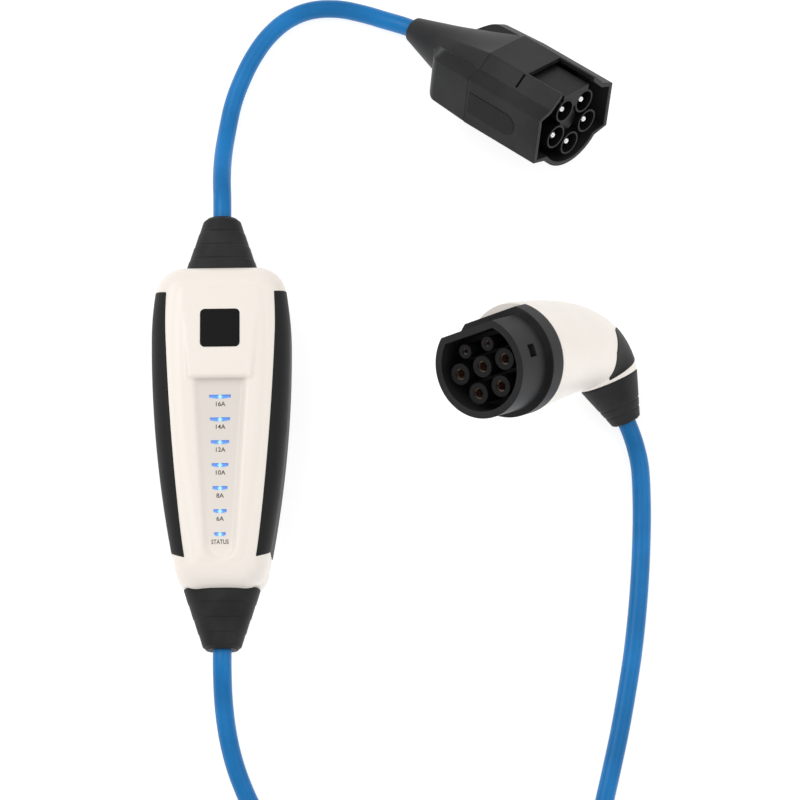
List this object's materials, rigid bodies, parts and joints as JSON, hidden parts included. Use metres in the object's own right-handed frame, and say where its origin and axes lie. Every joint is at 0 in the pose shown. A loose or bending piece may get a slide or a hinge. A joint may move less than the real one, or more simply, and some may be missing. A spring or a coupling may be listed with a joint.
{
  "type": "portable ev charger",
  "caption": "Portable car charger: a control box with status lights, a multi-pin supply plug on a short lead and a bent vehicle connector on a long coiled lead.",
  "frame": {"origin": "middle of the control box's back, on the surface it lies on", "axes": "+X to the right of the box seen from its front, +Y towards its supply end, +Z out of its front"},
  "size_m": [0.3197, 0.7637, 0.153],
  "materials": {
    "ivory_shell": "satin",
    "seal": "matte",
    "steel": "satin",
    "grip": "matte",
    "boot": "matte",
    "badge": "gloss",
    "board": "satin",
    "sensor": "satin",
    "terminal": "satin",
    "transformer": "satin",
    "clamp": "satin",
    "plug_black": "satin",
    "insert_black": "satin",
    "pad": "matte",
    "cable": "satin",
    "tie": "matte",
    "light": "gloss",
    "relay": "satin",
    "pin_steel": "polished",
    "brass": "satin"
  },
  "bodies": {
    "root": {"front_shell": "ivory_shell", "rear_shell": "ivory_shell", "housing_seal": "seal", "housing_screws": "steel", "left_grip": "grip", "right_grip": "grip", "supply_boot": "boot", "outlet_boot": "boot", "badge": "badge", "light_board": "board", "main_board": "board", "current_sensor": "sensor", "supply_terminals": "terminal", "outlet_terminals": "terminal", "control_transformer": "transformer", "supply_clamp": "clamp", "outlet_clamp": "clamp", "plug_hood": "plug_black", "plug_cover": "plug_black", "plug_insert": "insert_black", "plug_sleeves": "insert_black", "plug_left_pad": "pad", "plug_right_pad": "pad", "connector_nose": "plug_black", "connector_insert": "insert_black", "connector_shell": "ivory_shell", "connector_left_pad": "pad", "connector_right_pad": "pad", "connector_boot": "boot", "supply_cable": "cable", "outlet_cable": "cable", "connector_cable": "cable", "cable_coil": "cable", "cable_tie": "tie", "light_bar_1": "light", "light_bar_2": "light", "light_bar_3": "light", "light_bar_4": "light", "light_bar_5": "light", "light_bar_6": "light", "light_bar_7": "light", "relay_1": "relay", "relay_2": "relay", "relay_3": "relay", "relay_4": "relay", "plug_pin_1": "pin_steel", "plug_pin_2": "pin_steel", "plug_pin_3": "pin_steel", "plug_pin_4": "pin_steel", "plug_pin_5": "pin_steel", "power_socket_1": "brass", "power_socket_2": "brass", "power_socket_3": "brass", "power_socket_4": "brass", "power_socket_5": "brass", "pilot_socket_1": "brass", "pilot_socket_2": "brass"}
  },
  "joints": []
}
